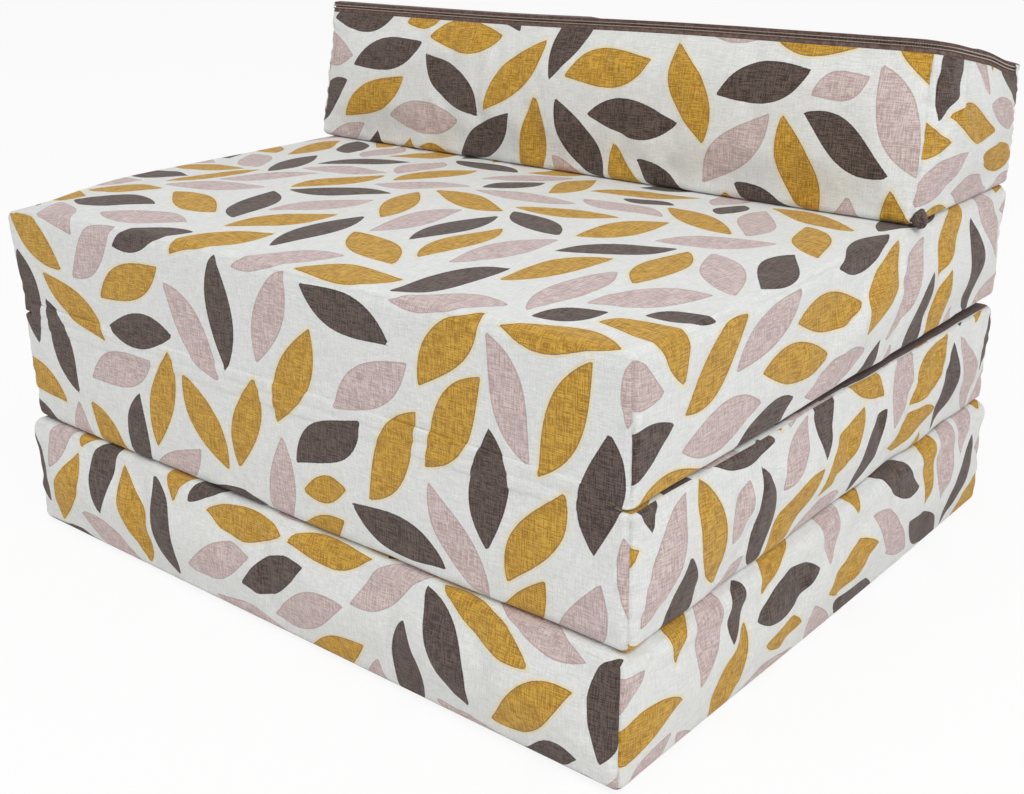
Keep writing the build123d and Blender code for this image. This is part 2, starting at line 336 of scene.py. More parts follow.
def settle(section, points):
    """From the plain box, whose y and z start at its front and underside, to the real place."""
    x, y, z = points.T
    z = z + zip_rise(section, x, y, section.height - z)
    lean = (section.front_high - section.front_low) / section.height
    slope = (section.high_front - section.high_rear) / (REAR - section.front_high)
    real_y = section.front_low + y
    real_z = section.low + z
    for _ in range(SLOPE_ROUNDS):
        front = section.front_low + lean * (real_z - section.low)
        real_y = front + stretch(y, section.depth, REAR - front, KEPT_EDGE)
        top = section.high_rear + slope * (REAR - real_y)
        real_z = section.low + stretch(z, section.height, top - section.low, KEPT_BAND)
    rise = smooth((real_z - section.low) / section.height)
    toward_front = np.exp(-((real_y - section.front_low) / FLARE_BACK) ** 2)
    to_left, to_right = ramp(-x, *FLARE_ACROSS), ramp(x, *FLARE_ACROSS)
    flare = {
        "seat": -SEAT_FLARE * to_left * toward_front * rise,
        "base": BASE_FLARE * to_right * (1 - toward_front) * (1 - 0.4 * rise),
        "backrest": -BACKREST_FLARE * to_left * (1 - rise) ** 2,
    }.get(section.name, 0)
    if section.name == "seat":
        real_z = real_z - SEAT_SINK * rise * np.exp(-(np.hypot(x + HALF, y) / SINK_REACH) ** 2)
    return np.stack([x + flare, real_y, real_z + wander(x, real_y, real_z)], 1)


def zip_rise(section, x, y, depth):
    """On the backrest's left the brown rim sinks to the zip, and on its right the zip rises to the rim."""
    if section.name != "backrest":
        return 0
    right = ramp(x, *ZIP_RISE_ACROSS) * (1 - ramp(y, *ZIP_RISE_BACK))
    below_rim = ramp(depth, 0, RIM + TAPE)
    above_wall = 1 - smooth((depth - ZIP_DEPTH) / ZIP_RISE_FADE)
    return ZIP_RISE * (below_rim * (1 - right + right * above_wall) - (1 - right))


def wander(x, y, z):
    """The lines between sections rise and fall a little along their free edges, alike on both sides."""
    side = np.exp(-(HALF - np.abs(x)) / WANDER_REACH)
    front = 0.4 * np.exp(-(y - FRONT) / WANDER_REACH)
    held = smooth((REAR - 30 - y) / 60)
    total = np.zeros_like(x)
    for level, height in WANDER.items():
        wave = waves(x * 0.6 + y, x * 0.3, WANDER_LENGTH, 50 + round(level))
        near = np.exp(-((z - level) / WANDER_BAND) ** 2)
        total += height * wave * np.clip(side + front, 0, 1) * held * near
    return total


def rounded(section, sharp):
    """Rolls the plain box's edges, each by its own amount. Gives the points and their outward normals."""
    x, y, z = sharp.T
    depth, height = section.depth, section.height
    near_front = y < depth / 2
    upper = z > height / 2
    corner = np.full(len(x), CORNER)
    if section.name == "backrest":
        # The right front corner is softer towards its top
        corner += (BACKREST_CORNER - CORNER) * smooth(z / height * 1.25 - 0.25) * (near_front & (x > 0))
    ux = np.clip(1 - (HALF - np.abs(x)) / corner, 0, 1)
    uy = np.clip(1 - np.where(near_front, y, depth - y) / corner, 0, 1)
    front_roll, rear_roll, side_roll = np.where(upper[:, None], section.high_rolls, section.low_rolls).T
    end_roll = np.where(near_front, front_roll, rear_roll)
    side_share = (ux ** 2 + 1e-9) / (ux ** 2 + uy ** 2 + 2e-9)
    roll = side_roll * side_share + end_roll * (1 - side_share)
    uz = np.clip(1 - np.where(upper, height - z, z) / roll, 0, 1)
    around = np.stack([ux, uy, uz], 1)
    around /= np.linalg.norm(around, axis=1)[:, None]
    over_x, over_y, over_z = around.T
    edge_x = np.sign(x) * (HALF - corner + corner * over_x)
    edge_y = np.where(near_front, corner - corner * over_y, depth - corner + corner * over_y)
    edge_z = np.where(upper, height - roll + roll * over_z, roll - roll * over_z)
    points = np.where(np.stack([ux, uy, uz], 1) > 0, np.stack([edge_x, edge_y, edge_z], 1), sharp)
    signs = np.stack([np.sign(x), np.where(near_front, -1, 1), np.where(upper, 1, -1)], 1)
    normals = signs * around / np.stack([corner, corner, roll], 1)
    normals /= np.linalg.norm(normals, axis=1)[:, None]
    return points, normals


def swelling(section, sharp):
    """How far the cloth stands out or dips at each point of the plain box, in millimetres."""
    x, y, z = sharp.T
    depth, height = section.depth, section.height
    seed = sum(map(ord, section.name))
    on_side = np.abs(x) > HALF - TOUCH
    on_end = (y < TOUCH) | (y > depth - TOUCH)
    wall = on_side | on_end
    on_top = z > height - TOUCH
    # Nothing moves where sections touch, at the zip band or at a hinge
    band = np.where(zipped_wall(section, sharp), ZIP_DEPTH, 0.0)
    to_low = (z - (0 if section.brown_on_top else band)) / FREE_ROLL
    to_high = (height - z - (band if section.brown_on_top else 0)) / FREE_ROLL
    free = smooth(to_low) * smooth(to_high)
    rise = np.clip((z - RIM) / (height - 2 * RIM), 0, 1)
    belly = (4 * rise * (1 - rise)) ** 1.3 * free
    # Where the cloth was blown out, only a share of the bellies is drawn
    share = DRAWN_SHARE if section.cloth else 1.0
    out = np.where(on_side, share * SIDE_BELLY * belly * crowned(y / depth, 2.6), 0)
    out += np.where(on_end & ~on_side, share * END_BELLY * belly * crowned(x / WIDTH + 0.5, 4), 0)
    # Puckers start at the upright corner seams, which lie a little deeper, and die away along the wall
    from_corner = np.where(on_side, np.minimum(y, depth - y), HALF - np.abs(x))
    pucker = waves(z, from_corner * 0.25, PUCKER_LENGTH, seed + 1) * np.exp(-from_corner / PUCKER_REACH)
    out += np.where(wall, PUCKER * pucker * free, 0)
    out -= np.where(wall, SEAM_GROOVE * np.exp(-(from_corner / SEAM_GROOVE) ** 2) * free, 0)
    out += np.where(wall, slack(np.where(on_side, y, x), z, WALL_SLACK, seed + 2) * free, 0)
    if section.name == "base":
        # The upper edge puffs out under the weight of the folded sections
        lobes = 1 + 0.45 * waves(y, z, 85.0, seed + 6)
        below_top = np.exp(-((height - z - PUFF_BELOW_TOP) / PUFF_REACH) ** 2)
        out += np.where(on_side, BASE_PUFF * lobes * below_top * smooth(y / 60), 0)
    if section.name == "seat":
        open_depth = depth - BACKREST_DEPTH_LOW
        across = crowned(x / WIDTH + 0.5, 3)
        deep = np.where(y < open_depth, crowned(y / open_depth, 3), 0)
        crown = SEAT_CROWN * share * across * deep
        loose = slack(x, y, SEAT_SLACK, seed + 4) * smooth(across * 3) * smooth(deep * 3)
        out += np.where(on_top, crown + loose, 0)
        # The left front corner has lost some of its foam's support
        out -= np.where(on_top, CORNER_DIP * np.exp(-(np.hypot(x + HALF, y) / DIP_REACH) ** 2), 0)
    if section.name == "backrest":
        edge = smooth(np.minimum(HALF - np.abs(x), np.minimum(y, depth - y)) / 30.0)
        out += np.where(on_top, slack(x, y, BACKREST_SLACK, seed + 4) * edge, 0)
        for place, turn, reach, strength in DRAWN_FOLDS:
            off = (y - place) * math.sin(turn) - (z - height / 2) * math.cos(turn)
            fold = np.exp(-(off / reach) ** 2) - 0.45 * np.exp(-(off / reach / 2.4) ** 2)
            out += np.where(on_side, strength * fold * free * smooth(from_corner / 12), 0)
        # A gather of spare cloth at the lower front corner of the right side
        crumple = 1 + 0.6 * waves(x + y, z * 1.3 - y, 8.0, seed + 7)
        out += np.where(on_side, GATHER * np.exp(-(from_gather(sharp) / 0.8) ** 4) * crumple, 0)
    return kept_flat(section, sharp, out)


def kept_flat(section, sharp, out):
    """Holds back what stands out of the end walls that close on each other when the bed is unfolded."""
    y = sharp[:, 1]
    closes = (y > section.depth - TOUCH) | ((y < TOUCH) & (section.name in ("middle", "seat")))
    return np.where(closes, np.minimum(out, FOLD_SHARE * out), out)


def from_gather(sharp):
    """Distance from the middle of the gather on the backrest's right side, as a share of its size."""
    return np.sqrt((((sharp - GATHER_PLACE) / GATHER_SIZE) ** 2).sum(1))


def from_edge(section, sharp):
    """How far each point of the plain box is from the box's nearest edge."""
    x, y, z = sharp.T
    to_faces = [HALF - np.abs(x), np.minimum(y, section.depth - y), np.minimum(z, section.height - z)]
    return np.sort(to_faces, axis=0)[1]


def zipped_wall(section, sharp):
    """Whether points are on a stretch of wall that has a zip."""
    x, y, _ = sharp.T
    if section.name == "backrest":
        on_wall = (np.abs(x) > HALF - TOUCH) | (y < TOUCH)
        return on_wall & (y < section.depth - BACKREST_ZIP_MARGIN + TOUCH)
    return (y > section.depth - TOUCH) & (np.abs(x) < ZIP_REACH + TOUCH)


def depth_below_zip_face(section, sharp):
    return section.height - sharp[:, 2] if section.brown_on_top else sharp[:, 2]


def in_zip_band(section, sharp):
    """Whether points of a wall lie in the band that the zip takes."""
    return zipped_wall(section, sharp) & (depth_below_zip_face(section, sharp) < ZIP_DEPTH - TOUCH)


def under_brown(section, sharp):
    """Whether points are under the brown cloth, which on a slab stops short of the free edges."""
    x, y, _ = sharp.T
    depth = depth_below_zip_face(section, sharp)
    near = depth < RIM + TOUCH
    if section.name == "backrest":
        return near
    if section.name == "base":
        # The brown cloth reaches the front edge and turns up over its left end
        lifted = RIM * ramp(-x, *BASE_BROWN_LIFTS) + TOUCH
        inside = (np.abs(x) < HALF - BROWN_INSET) & (y > BROWN_INSET)
        return (near & inside) | ((y < BROWN_INSET) & (depth < lifted))
    side_inset = BROWN_INSET - BROWN_WIDENS * ramp(y, *BROWN_WIDENS_BACK)
    return near & (np.abs(x) < HALF - side_inset) & (y > BROWN_INSET)


# ---- Grids over the box


# Which two of x, y and z a face's grid runs along
FACE_AXES = {"low": (1, 0), "high": (0, 1), "front": (0, 2), "rear": (2, 0), "left": (2, 1), "right": (1, 2)}


def spread(start, end, step):
    """Even lines between two values, about a step apart, without the last."""
    count = max(1, round(abs(end - start) / step))
    return [start + (end - start) * i / count for i in range(count)]


def edge_lines(roll):
    """Lines close to an edge, spaced so that its roll turns evenly."""
    return [roll * (1 - math.tan(math.pi / 4 * i / EDGE_STEPS)) for i in range(EDGE_STEPS, -1, -1)]


def rolled_lines(length, roll, extra=()):
    """Lines over a length, close over the rolls at its ends, with extra ones near both ends."""
    near = edge_lines(roll) + list(extra)
    return near + spread(roll, length - roll, GRID) + [length - line for line in near]


def with_lines(lines, exact, beside, room):
    """Lines with exact ones, and one beside them, in place of those that lie near."""
    return [line for line in lines if min(abs(line - e) for e in exact) > room] + exact + [beside]


def thinned(lines):
    """Sorted lines without near doubles."""
    kept = []
    for line in sorted(lines):
        if not kept or line - kept[-1] > LEAST_STEP:
            kept.append(line)
    return np.array(kept)


def section_lines(section):
    """Where a section's fine grid runs in x, y and z, with exact lines where its zip starts and ends."""
    depth, height = section.depth, section.height
    xs, ys = rolled_lines(WIDTH, CORNER), rolled_lines(depth, CORNER)
    band, step = (height - ZIP_DEPTH, BAND_STEP) if section.brown_on_top else (ZIP_DEPTH, -BAND_STEP)
    exact = [band]
    if section.name == "backrest":
        exact += [height - RIM - TAPE, height - ZIP_DEPTH + TAPE]
        end = depth - BACKREST_ZIP_MARGIN
        ys = with_lines(ys, [end], end + END_STEP, 1.2)
    else:
        end = HALF - ZIP_REACH
        xs = with_lines(xs, [end], end - END_STEP, 1.2)
        xs = with_lines(xs, [WIDTH - end], WIDTH - end + END_STEP, 1.2)
    zs = with_lines(rolled_lines(height, FREE_ROLL, RIM_LINES), exact, band + step, 1.0)
    return [thinned(xs) - HALF, thinned(ys), thinned(zs)]


def box_lines(section, roll, step):
    """Where a coarser grid runs in x, y and z: at given lines near each edge, and evenly between."""
    lines = []
    for length in (WIDTH, section.depth, section.height):
        ends = [length - r for r in roll[::-1]]
        lines.append(np.array(roll + spread(CORNER, length - CORNER, step) + [length - CORNER] + ends))
    lines[0] -= HALF
    return lines


def skin_of(lines):
    """The points on a box's skin and, face by face, the grid of their numbers."""
    shape = [len(line) for line in lines]
    skin = np.zeros(shape, bool)
    skin[[0, -1]] = True
    skin[:, [0, -1]] = True
    skin[:, :, [0, -1]] = True
    number = np.full(shape, -1)
    number[skin] = np.arange(skin.sum())
    points = np.stack(np.meshgrid(*lines, indexing="ij"), -1)[skin]
    faces = {
        "low": number[:, :, 0].T,
        "high": number[:, :, -1],
        "front": number[:, 0, :],
        "rear": number[:, -1, :].T,
        "left": number[0, :, :].T,
        "right": number[-1, :, :],
    }
    return points, faces


def quads_of(grid):
    """The four corners of each patch of a face's grid, turned outwards."""
    corners = [grid[:-1, :-1], grid[1:, :-1], grid[1:, 1:], grid[:-1, 1:]]
    return np.stack([corner.ravel() for corner in corners], 1)


class Skin:
    """The cloth over a box's grid: plain and shaped points, outward normals, patches, and how far
    the blown cloth has carried each point."""

    def __init__(self, section, lines):
        self.section = section
        self.sharp, self.faces = skin_of(lines)
        points, self.normals = rounded(section, self.sharp)
        self.points = points + self.normals * swelling(section, self.sharp)[:, None]
        self.quads = np.concatenate([quads_of(grid) for grid in self.faces.values()])
        self.moves = np.zeros(self.sharp.shape)
        if section.cloth:
            coarse, coarse_faces, moved = section.cloth
            weights = [carry(a, b) for a, b in zip(coarse, lines)]
            for face, (first, second) in FACE_AXES.items():
                self.moves[self.faces[face]] = np.einsum(
                    "ia,jb,abk->ijk", weights[first], weights[second], moved[coarse_faces[face]])

    def at(self, depth):
        """The settled points, sunk by a depth, before the cloth's moves."""
        return settle(self.section, self.points - self.normals * depth)


def carry(coarse, fine):
    """Weights that read values on coarse lines along a smooth curve at fine ones."""
    count = len(coarse)
    slopes = np.zeros((count, count))
    for i in range(count):
        before, after = max(i - 1, 0), min(i + 1, count - 1)
        slopes[i, after] += 1 / (coarse[after] - coarse[before])
        slopes[i, before] -= 1 / (coarse[after] - coarse[before])
    at = np.clip(np.searchsorted(coarse, fine, "right") - 1, 0, count - 2)
    step = coarse[at + 1] - coarse[at]
    t = (fine - coarse[at]) / step
    values = np.eye(count)
    weights = (2 * t ** 3 - 3 * t ** 2 + 1)[:, None] * values[at]
    weights += (3 * t ** 2 - 2 * t ** 3)[:, None] * values[at + 1]
    weights += (step * (t ** 3 - 2 * t ** 2 + t))[:, None] * slopes[at]
    return weights + (step * (t ** 3 - t ** 2))[:, None] * slopes[at + 1]


# ---- The cloth, blown out


def held_points(section, sharp):
    """Which points the cloth can't leave: where sections touch, round the zip and along the hinges."""
    _, y, z = sharp.T
    low, high = z < TOUCH, z > section.height - TOUCH
    held = low | high
    if section.name == "seat":
        held &= ~(high & (y < section.depth - BACKREST_DEPTH_LOW - 6))
    return held | (zipped_wall(section, sharp) & (depth_below_zip_face(section, sharp) < ZIP_DEPTH + 4))


def blown(section, sharp, start, quads, material):
    """How far each point of a coarse cover moves when it is blown out softly as cloth."""
    piece = make_mesh(f"{section.name}_cloth_trial", start, quads, material)
    held = piece.vertex_groups.new(name="held")
    held.add(np.flatnonzero(held_points(section, sharp)).tolist(), 1.0, "REPLACE")
    cloth = piece.modifiers.new("cloth", "CLOTH")
    for key, value in CLOTH.items():
        setattr(cloth.settings, key, value)
    cloth.settings.effector_weights.gravity = 0
    cloth.point_cache.frame_start = 1
    cloth.point_cache.frame_end = CLOTH_FRAMES
    scene = bpy.context.scene
    for step in range(1, CLOTH_FRAMES + 1):
        scene.frame_set(step)
    shaped = piece.evaluated_get(bpy.context.evaluated_depsgraph_get()).to_mesh()
    flat = np.empty(len(start) * 3)
    shaped.vertices.foreach_get("co", flat)
    scene.frame_set(1)
    bpy.data.objects.remove(piece)
    return flat.reshape(-1, 3) / MM - start


def settle_cloth(section, material):
    """Blows the cover out, and keeps how far it moves, within its caps."""
    lines = box_lines(section, [0, CORNER * 0.45], COARSE_GRID)
    sharp, faces = skin_of(lines)
    points, normals = rounded(section, sharp)
    quads = np.concatenate([quads_of(grid) for grid in faces.values()])
    moved = blown(section, sharp, settle(section, points), quads, material)
    outward = (moved * normals).sum(1)
    slid = (moved - normals * outward[:, None]) * CLOTH_SLIDE
    moved = slid + normals * kept_flat(section, sharp, outward)[:, None]
    inner = smooth(from_edge(section, sharp) / CRISP_EDGE)
    moved *= (EDGE_SHARE + (1 - EDGE_SHARE) * inner)[:, None]
    # The wide open top keeps the curve that it was blown to, at a lower height
    to_top = sharp[:, 2] - section.height + TOUCH
    most_on_top = np.linalg.norm(moved[to_top > 0], axis=1).max()
    lowered = 1 - min(1, CLOTH_CAP / max(most_on_top, 1e-9))
    moved *= (1 - lowered * smooth(1 + to_top / TOP_BLEND))[:, None]
    length = np.linalg.norm(moved, axis=1)
    moved *= np.minimum(1, CLOTH_CAP / np.maximum(length, 1e-9))[:, None]
    outward = (moved * normals).sum(1)
    moved += normals * np.maximum(-CLOTH_DIP - outward, 0)[:, None]
    section.cloth = (lines, faces, moved)


# ---- The leaf print, laid out on the flat cloth


def print_place(section, face, sharp):
    """Where points of a face lie on the flat cloth: the top and walls unfold round the main panel."""
    x, y, z = sharp.T
    down = z if section.brown_on_top else section.height - z
    flat = {
        "front": (x, -down),
        "rear": (x, section.depth + down),
        "left": (-HALF - down, y),
        "right": (HALF + down, y),
    }.get(face, (x, y))
    return np.stack([flat[0], section.print_start + section.print_turn * flat[1]], 1)


def leaf_outline(half_length, half_width, bend, steps=25):
    """A pointed leaf that bends like a flat S, as a closed line from tip to tip and back."""
    t = np.sin(np.linspace(-math.pi / 2, math.pi / 2, steps))
    middle = bend * half_width * 2.6 * t * (1 - t * t)
    wide = half_width * (1 - t * t)
    upper = np.stack([t * half_length, middle + wide], 1)
    lower = np.stack([t * half_length, middle - wide], 1)[::-1]
    return np.concatenate([upper, lower[1:-1]])


def leaf_layout(half_span, v0, v1, seed):
    """Leaves packed side by side over a cloth, longest first. Each is its centre, angle, half length,
    half width, bend and ink."""
    rng = np.random.default_rng(seed)
    start = np.array([-half_span, v0])
    count = np.ceil((np.array([half_span, v1]) - start) / LEAF_LOOK).astype(int)
    clear = np.full(count, LEAF_FAR)
    leaves = []
    for half_length, half_width in LEAF_SIZES:
        least = half_width + LEAF_GAP
        misses = 0
        while misses < LEAF_MISSES:
            spots = np.argwhere((clear > least) & (clear < least + LEAF_REACH))
            if not len(spots):
                spots = np.argwhere(clear > least)
            if not len(spots):
                break
            centres = start + spots[rng.integers(len(spots), size=LEAF_TRIES)] * LEAF_LOOK
            angles = rng.uniform(0, math.pi, LEAF_TRIES)
            size = rng.uniform(*LEAF_LENGTHS)
            wide = rng.uniform(*LEAF_WIDTHS)
            bend = LEAF_BEND * rng.choice([-1, 1]) * rng.uniform(*LEAF_BENDS)
            along, across = leaf_outline(half_length * size, half_width * wide, bend, 13).T
            cos, sin = np.cos(angles)[:, None], np.sin(angles)[:, None]
            outlines = np.stack([along * cos - across * sin, along * sin + across * cos], -1)
            outlines += centres[:, None]
            at = np.clip(np.rint((outlines - start) / LEAF_LOOK).astype(int), 0, count - 1)
            room = clear[at[..., 0], at[..., 1]]
            score = np.minimum(room, 30).mean(1) + np.where(room.min(1) < LEAF_GAP, LEAF_CROSSES, 0)
            best = int(score.argmin())
            if score[best] > LEAF_CROSSES - 100:
                misses += 1
                continue
            misses = 0
            leaves.append([centres[best], angles[best], half_length * size, half_width * wide, bend])
            reach = half_length + half_width + LEAF_GAP + LEAF_REACH
            chart_leaf(clear, start, centres[best], reach, outlines[best])
    return inked(leaves, rng)


def chart_leaf(clear, start, centre, reach, outline):
    """Brings a new leaf into the chart of how far each place on the cloth is from a leaf."""
    low = np.clip(((centre - reach - start) / LEAF_LOOK).astype(int), 0, clear.shape)
    high = np.clip(((centre + reach - start) / LEAF_LOOK).astype(int) + 1, 0, clear.shape)
    steps = [np.arange(a, b) for a, b in zip(low, high)]
    window = np.stack(np.meshgrid(*steps, indexing="ij"), -1)
    gap = distance_to_outline(start + window.reshape(-1, 2) * LEAF_LOOK, outline).reshape(window.shape[:2])
    part = clear[low[0]:high[0], low[1]:high[1]]
    np.minimum(part, gap, out=part)


def inked(leaves, rng):
    """Gives each leaf the ink that its neighbours use least."""
    centres = np.array([leaf[0] for leaf in leaves])
    inks = np.full(len(leaves), -1)
    for i in rng.permutation(len(leaves)):
        away = np.hypot(*(centres - centres[i]).T)
        near, close = away < INK_NEAR, away < INK_CLOSE
        used = [(near & (inks == ink)).sum() + 3 * (close & (inks == ink)).sum() for ink in range(3)]
        inks[i] = int(np.argmin(np.array(used) + rng.uniform(0, 1.6, 3) + INK_LIKING))
    return [(*leaf, int(ink)) for leaf, ink in zip(leaves, inks)]


def distance_to_outline(points, outline):
    """Signed distance of each point to a closed line, less than nothing inside it."""
    ways = np.roll(outline, -1, axis=0) - outline
    away = points[:, None, :] - outline[None]
    along = np.clip((away * ways).sum(2) / (ways ** 2).sum(1), 0, 1)
    gap = away - along[..., None] * ways
    nearest = np.sqrt((gap ** 2).sum(2)).min(1)
    ends = outline + ways
    above = points[:, None, 1] >= outline[None, :, 1]
    passed = above != (points[:, None, 1] >= ends[None, :, 1])
    rise = np.where(np.abs(ways[:, 1]) < 1e-12, 1e-12, ways[:, 1])
    cross = outline[:, 0] + away[..., 1] / rise * ways[:, 0]
    inside = (passed & (points[:, None, 0] < cross)).sum(1) % 2 == 1
    return np.where(inside, -nearest, nearest)


def ink_distances(places, leaves):
    """For each place on the cloth, how far it is from the nearest leaf of each ink, in millimetres."""
    result = np.full((len(places), len(INKS)), FAR_FROM_INK)
    order = np.argsort(places[:, 1])
    sorted_v = places[order, 1]
    for centre, angle, half_length, half_width, bend, ink in leaves:
        reach = half_length + FAR_FROM_INK
        first, last = np.searchsorted(sorted_v, [centre[1] - reach, centre[1] + reach])
        near = order[first:last]
        near = near[np.abs(places[near, 0] - centre[0]) < reach]
        if not len(near):
            continue
        turn = np.array([[math.cos(angle), -math.sin(angle)], [math.sin(angle), math.cos(angle)]])
        local = (places[near] - centre) @ turn
        close = np.abs(local[:, 1]) < half_width * 2 + FAR_FROM_INK
        near, local = near[close], local[close]
        if not len(near):
            continue
        gap = distance_to_outline(local, leaf_outline(half_length, half_width, bend))
        result[near, ink] = np.minimum(result[near, ink], gap)
    return result


# ---- Pieces of cloth and foam


def placed(name, data):
    """A mesh, lamp or camera as an object in the scene."""
    piece = bpy.data.objects.new(name, data)
    bpy.context.scene.collection.objects.link(piece)
    return piece


def make_mesh(name, points, quads, material, places=None, inks=None):
    """A mesh piece in metres. Places are corner coordinates on the cloth, inks corner distances."""
    mesh = bpy.data.meshes.new(name)
    mesh.from_pydata((points * MM).tolist(), [], quads.tolist())
    mesh.shade_smooth()
    if places is not None:
        mesh.uv_layers.new(name="cloth").uv.foreach_set("vector", (places * MM).astype(np.float32).ravel())
    if inks is not None:
        layer = mesh.attributes.new("ink_distance", "FLOAT_VECTOR", "CORNER")
        layer.data.foreach_set("vector", inks.astype(np.float32).ravel())
    mesh.materials.append(material)
    return placed(name, mesh)


def foam_block(section, material):
    """The foam inside a section, a little clear of its cover all round."""
    skin = Skin(section, box_lines(section, [0, CORNER * 0.3, CORNER * 0.65], FOAM_GRID))
    return make_mesh(f"{section.name}_foam_block", skin.at(FOAM_INSET) + skin.moves, skin.quads, material)


def printed_cover(skin, material, leaves):
    """A section's printed cover: a closed skin whose zipped face is tucked under the brown panel."""
    section, sharp = skin.section, skin.sharp
    covered = under_brown(section, sharp)
    band = in_zip_band(section, sharp)
    tuck = np.where(band, ZIP_RECESS, np.where(covered, UNDER_RIM, 0.0))
    places, inks = [], []
    for face, grid in skin.faces.items():
        numbers = grid.ravel()
        flat = print_place(section, face, sharp[numbers])
        distances = ink_distances(flat, leaves)
        distances[(band | covered)[numbers]] = (FAR_FROM_INK, -FAR_FROM_INK, FAR_FROM_INK)
        if section.name == "backrest":
            gather = from_gather(sharp[numbers]) * GATHER_INK - GATHER_INK
            distances[:, 1] = np.minimum(distances[:, 1], gather)
        where = np.zeros(len(sharp), int)
        where[numbers] = np.arange(grid.size)
        index = where[quads_of(grid).ravel()]
        places.append(flat[index])
        inks.append(distances[index])
    return make_mesh(f"{section.name}_printed_cover", skin.at(tuck[:, None]) + skin.moves, skin.quads,
                     material, np.concatenate(places), np.concatenate(inks))


def closed_sheet(quads, count):
    """Patches of a sheet, of its back, whose points follow after count, and round its border."""
    edges = {(a, b) for i in range(4) for a, b in quads[:, [i, (i + 1) % 4]].tolist()}
    border = sorted((b, a, a + count, b + count) for a, b in edges if (b, a) not in edges)
    return np.concatenate([quads, quads[:, ::-1] + count, np.array(border)])


def band_of(skin, within, recess, thickness):
    """Part of a skin as a thin closed sheet: both sides' points, the patches, and which points it has."""
    used, quads = np.unique(skin.quads[within[skin.quads].all(1)], return_inverse=True)
    sides = [skin.at(depth)[used] for depth in (recess, recess + thickness)]
    return sides, closed_sheet(quads.reshape(-1, 4), len(used)), used


def underside(skin, material):
    """The brown cloth over a section's zipped face, with its rim turned over the edge."""
    sides, quads, used = band_of(skin, under_brown(skin.section, skin.sharp), 0, PANEL_CLOTH)
    points = np.concatenate([side + skin.moves[used] for side in sides])
    places = np.concatenate([skin.sharp[used][:, :2]] * 2)[quads.ravel()]
    return make_mesh(f"{skin.section.name}_brown_underside", points, quads, material, places)


def soft_tape(skin, key, material):
    """A zip tape on the backrest, as a thin closed band that follows its soft wall."""
    start = RIM if key == "panel" else ZIP_DEPTH - TAPE
    depth = depth_below_zip_face(skin.section, skin.sharp)
    within = zipped_wall(skin.section, skin.sharp) & (depth > start - 0.1) & (depth < start + TAPE + 0.1)
    sides, quads, _ = band_of(skin, within, TAPE_RECESS, TAPE_CLOTH)
    return make_mesh(f"{skin.section.name}_zip_{key}_soft_tape", np.concatenate(sides), quads, material)


def hinge_cloth(name, z_mid, at_front, material, leaves):
    """A strip of printed cloth over the crease where two sections are joined, as a thin closed band."""
    wall, sign = (FRONT, -1) if at_front else (REAR, 1)
    columns = np.array(spread(-HINGE_REACH, HINGE_REACH, 4.0) + [HINGE_REACH])
    t, x = np.meshgrid(np.linspace(-1, 1, 21), columns, indexing="ij")
    z = z_mid + t * HINGE_TUCK
    crease = np.exp(-(t * HINGE_TUCK / HINGE_CREASE) ** 2)
    stand = HINGE_STAND - HINGE_STAND * crease
    if at_front:
        crease = 0.7 * crease + 0.4 * waves(x, z, 90, 7) * np.exp(-(t * 2) ** 2)
        edge = smooth((1 - np.abs(t)) * 4) * smooth((HINGE_REACH - np.abs(x)) / 18.0)
        stand = (0.75 - crease) * edge - 0.5 * (1 - edge)
    sides = [np.stack([x, wall + sign * out, z], -1).reshape(-1, 3) for out in (stand, stand - HINGE_CLOTH)]
    grid = np.arange(x.size).reshape(x.shape).T
    quads = closed_sheet(quads_of(grid if at_front else grid[::-1]), x.size)
    flat = np.concatenate([np.stack([x, z - z_mid - HEIGHT], -1).reshape(-1, 2)] * 2)
    distances = ink_distances(flat, leaves)
    return make_mesh(name, np.concatenate(sides), quads, material,
                     flat[quads.ravel()], distances[quads.ravel()])


# ---- Node trees


class Signal:
    """A node's output that takes part in plain arithmetic."""

    def __init__(self, nodes, socket):
        self.nodes = nodes
        self.socket = socket

    def other(self, key):
        """Another output of the same node."""
        return Signal(self.nodes, self.socket.node.outputs[key])

    def math(self, operation, *others, swap=False):
        values = [self, *others]
        if swap:
            values.reverse()
        return self.nodes.node("ShaderNodeMath", {"operation": operation}, dict(enumerate(values)))

    def __add__(self, other):
        return self.math("ADD", other)

    def __sub__(self, other):
        return self.math("SUBTRACT", other)

    def __rsub__(self, other):
        return self.math("SUBTRACT", other, swap=True)

    def __mul__(self, other):
        return self.math("MULTIPLY", other)

    __radd__ = __add__
    __rmul__ = __mul__

    def sine(self):
        return self.math("SINE")

    def steep(self, low, high):
        """Rises smoothly from 0 at low to 1 at high."""
        return self.nodes.node("ShaderNodeMapRange", {"interpolation_type": "SMOOTHSTEP"},
                               {0: self, 1: low, 2: high})


